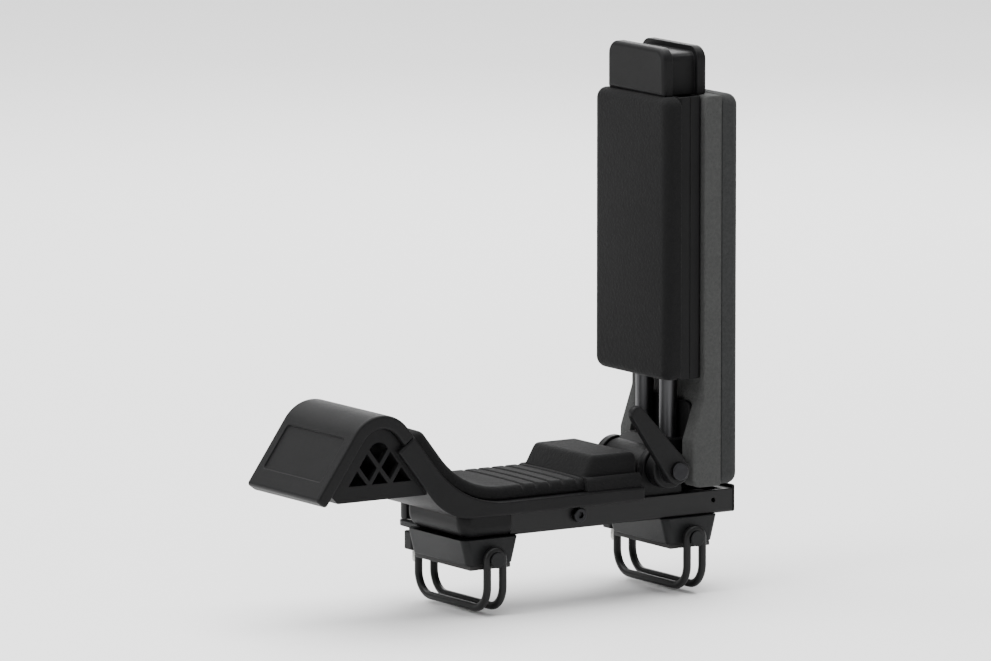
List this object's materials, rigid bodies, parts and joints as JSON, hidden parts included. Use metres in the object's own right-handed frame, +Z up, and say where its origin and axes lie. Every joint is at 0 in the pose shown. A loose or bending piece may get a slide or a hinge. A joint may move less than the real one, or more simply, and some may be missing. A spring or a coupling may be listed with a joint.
{
  "type": "j style kayak carrier",
  "caption": "Folding J style kayak carrier that clamps on a roof load bar, with a padded cradle, a hooded nose, a padded upright mast and wire bail clamps.",
  "frame": {"origin": "on the load bar's top face, midway between the two clamps", "axes": "+X along the load bar from the nose towards the mast, -Y towards the lever, +Z up"},
  "size_m": [0.4407, 0.1592, 0.478],
  "materials": {
    "black_plastic": "moulded, fine grain",
    "grey_plastic": "moulded, fine grain",
    "coated_metal": "satin powder coat",
    "tube_metal": "dark anodised",
    "black_foam": "closed cell foam",
    "grey_foam": "closed cell foam",
    "saddle_rubber": "matt rubber",
    "fastener_steel": "zinc plated",
    "nylon": "turned nylon"
  },
  "bodies": {
    "base": {"saddle_pad_outboard": "saddle_rubber", "saddle_pad_inboard": "saddle_rubber", "foot_outboard": "grey_plastic", "foot_inboard": "grey_plastic", "clamp_washer_outboard": "fastener_steel", "clamp_washer_inboard": "fastener_steel", "base_rail": "coated_metal", "rail_end_cap": "black_plastic", "root_block": "black_plastic", "foot_screws": "fastener_steel", "j_arm": "black_plastic", "nose_cover": "black_plastic", "cradle_pad": "black_foam", "corner_pad": "black_foam", "arm_bolt": "fastener_steel", "arm_nut": "fastener_steel", "arm_screws": "fastener_steel", "hinge_bracket": "black_plastic", "bracket_screws": "fastener_steel", "pivot_bolt": "fastener_steel", "pivot_nut": "fastener_steel", "pivot_washers": "fastener_steel"},
    "mast": {"mast_hub": "black_plastic", "pivot_bushes": "nylon", "mast_tube_front": "tube_metal", "mast_tube_rear": "tube_metal", "mast_panel_outboard": "black_plastic", "mast_panel_inboard": "black_plastic", "panel_screws": "fastener_steel", "mast_pad_outboard": "black_foam", "mast_pad_inboard": "grey_foam", "mast_head": "black_plastic"},
    "lever": {"fold_lever": "black_plastic"},
    "hand_screw_outboard": {"clamp_screw_outboard": "fastener_steel", "knob_outboard": "black_plastic"},
    "carriage_outboard": {"carriage_outboard": "black_plastic"},
    "bail_outboard": {"bail_outboard": "coated_metal"},
    "hand_screw_inboard": {"clamp_screw_inboard": "fastener_steel", "knob_inboard": "black_plastic"},
    "carriage_inboard": {"carriage_inboard": "black_plastic"},
    "bail_inboard": {"bail_inboard": "coated_metal"}
  },
  "joints": [
    {"name": "mast_fold", "type": "hinge", "parent": "base", "child": "mast", "pos_m": [0.077, 0, 0.0725], "axis": [0, -1, 0], "range_deg": [0, 68]},
    {"name": "lever_turn", "type": "hinge", "parent": "base", "child": "lever", "pos_m": [0.077, 0, 0.0725], "axis": [0, -1, 0], "range_deg": [0, 75]},
    {"name": "screw_turn_outboard", "type": "hinge", "parent": "base", "child": "hand_screw_outboard", "pos_m": [-0.104, 0.0745, 0.027], "axis": [0, 0, 1], "range_deg": [0, 1440]},
    {"name": "carriage_slide_outboard", "type": "slide", "parent": "base", "child": "carriage_outboard", "axis": [0, 0, 1], "range_m": [-0.008, 0]},
    {"name": "bail_swing_outboard", "type": "hinge", "parent": "base", "child": "bail_outboard", "pos_m": [-0.104, -0.0515, 0.009], "axis": [1, 0, 0], "range_deg": [-4.2, 0]},
    {"name": "screw_turn_inboard", "type": "hinge", "parent": "base", "child": "hand_screw_inboard", "pos_m": [0.104, 0.0745, 0.027], "axis": [0, 0, 1], "range_deg": [0, 1440]},
    {"name": "carriage_slide_inboard", "type": "slide", "parent": "base", "child": "carriage_inboard", "axis": [0, 0, 1], "range_m": [-0.008, 0]},
    {"name": "bail_swing_inboard", "type": "hinge", "parent": "base", "child": "bail_inboard", "pos_m": [0.104, -0.0515, 0.009], "axis": [1, 0, 0], "range_deg": [-4.2, 0]}
  ],
  "couplings": [
    {"joint": "carriage_slide_outboard", "follows": "screw_turn_outboard", "m_per_rad": -0.000318},
    {"joint": "bail_swing_outboard", "follows": "screw_turn_outboard", "ratio": -0.00289},
    {"joint": "carriage_slide_inboard", "follows": "screw_turn_inboard", "m_per_rad": -0.000318},
    {"joint": "bail_swing_inboard", "follows": "screw_turn_inboard", "ratio": -0.00289}
  ]
}
